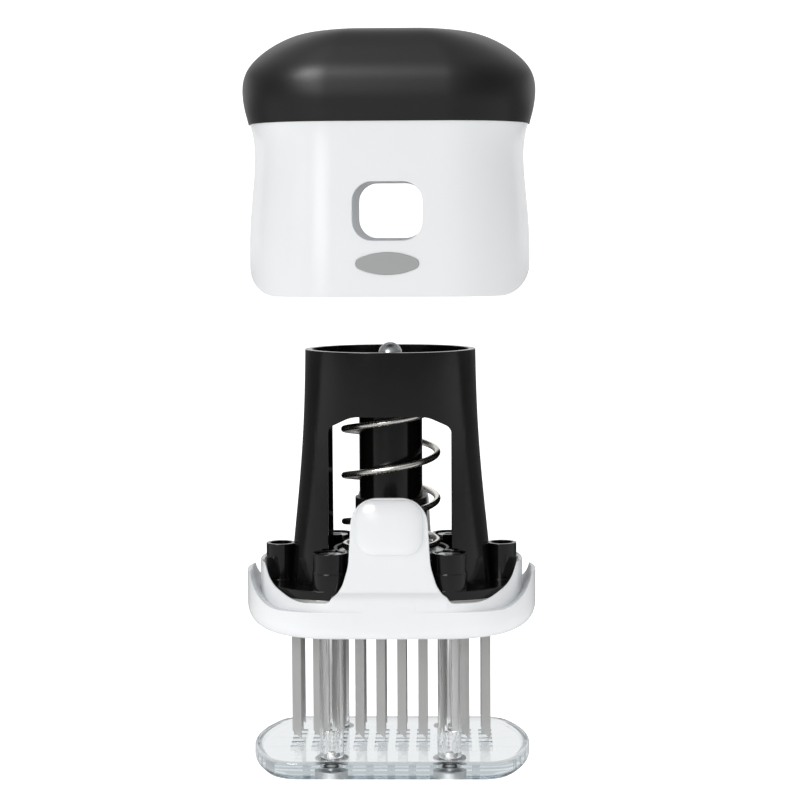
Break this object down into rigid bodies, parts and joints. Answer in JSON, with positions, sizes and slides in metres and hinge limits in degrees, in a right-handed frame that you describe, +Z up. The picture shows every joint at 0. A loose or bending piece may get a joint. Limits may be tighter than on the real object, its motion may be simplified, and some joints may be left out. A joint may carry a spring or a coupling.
{
  "type": "blade meat tenderizer",
  "caption": "Sprung hand tool with steel blades that slide down clear posts through a slotted foot, with a lift-off cover and soft cap.",
  "frame": {"origin": "on the floor under the middle of the foot plate", "axes": "+Z up along the posts, +X along the long side of the plate, -Y towards the front button"},
  "size_m": [0.1072, 0.0736, 0.2695],
  "materials": {
    "clear_acrylic": "clear polished",
    "white_abs": "glossy",
    "black_abs": "glossy",
    "black_nylon": "satin",
    "bush_nylon": "satin",
    "blade_steel": "ground",
    "plated_steel": "bright plated",
    "spring_steel": "drawn wire",
    "soft_black": "matte soft touch",
    "badge_grey": "satin, plain"
  },
  "bodies": {
    "guard": {"foot_plate": "clear_acrylic", "post_front_left": "clear_acrylic", "post_front_right": "clear_acrylic", "post_back_left": "clear_acrylic", "post_back_right": "clear_acrylic", "post_screws": "plated_steel", "spring_slider": "black_nylon", "slider_screws": "plated_steel", "spring_washer": "plated_steel"},
    "blade_head": {"collar": "white_abs", "head_base": "black_abs", "tower_frame": "black_abs", "guide_bush_front_left": "bush_nylon", "guide_bush_front_right": "bush_nylon", "guide_bush_back_left": "bush_nylon", "guide_bush_back_right": "bush_nylon", "blade_carrier": "black_nylon", "clamp_plate": "blade_steel", "blade_row_1": "blade_steel", "blade_row_2": "blade_steel", "blade_row_3": "blade_steel", "blade_row_4": "blade_steel", "blade_row_5": "blade_steel", "guide_tube": "black_abs", "dome_screw": "plated_steel", "top_washer": "plated_steel", "carrier_screws": "plated_steel", "clamp_screws": "plated_steel", "spring": "spring_steel"},
    "cover": {"cover_shell": "white_abs", "cap_core": "black_nylon", "soft_cap": "soft_black", "cap_screws": "plated_steel", "badge": "badge_grey"},
    "latch_front": {"latch_front": "white_abs"},
    "latch_back": {"latch_back": "white_abs"}
  },
  "joints": [
    {"name": "blade_press", "type": "slide", "parent": "guard", "child": "blade_head", "axis": [0, 0, 1], "range_m": [-0.033, 0], "stiffness_N_per_m": 900, "springref_m": 0.015, "deforming": ["spring"]},
    {"name": "cover_lift", "type": "slide", "parent": "blade_head", "child": "cover", "axis": [0, 0, 1], "range_m": [-0.1118, 0], "deforming": ["latch_front", "latch_back"]},
    {"name": "front_button", "type": "hinge", "parent": "blade_head", "child": "latch_front", "pos_m": [0, -0.03115, 0.0666], "axis": [-1, 0, 0], "range_deg": [0, 7], "stiffness_Nm_per_rad": 1.5},
    {"name": "back_button", "type": "hinge", "parent": "blade_head", "child": "latch_back", "pos_m": [0, 0.03115, 0.0666], "axis": [1, 0, 0], "range_deg": [0, 7], "stiffness_Nm_per_rad": 1.5}
  ]
}
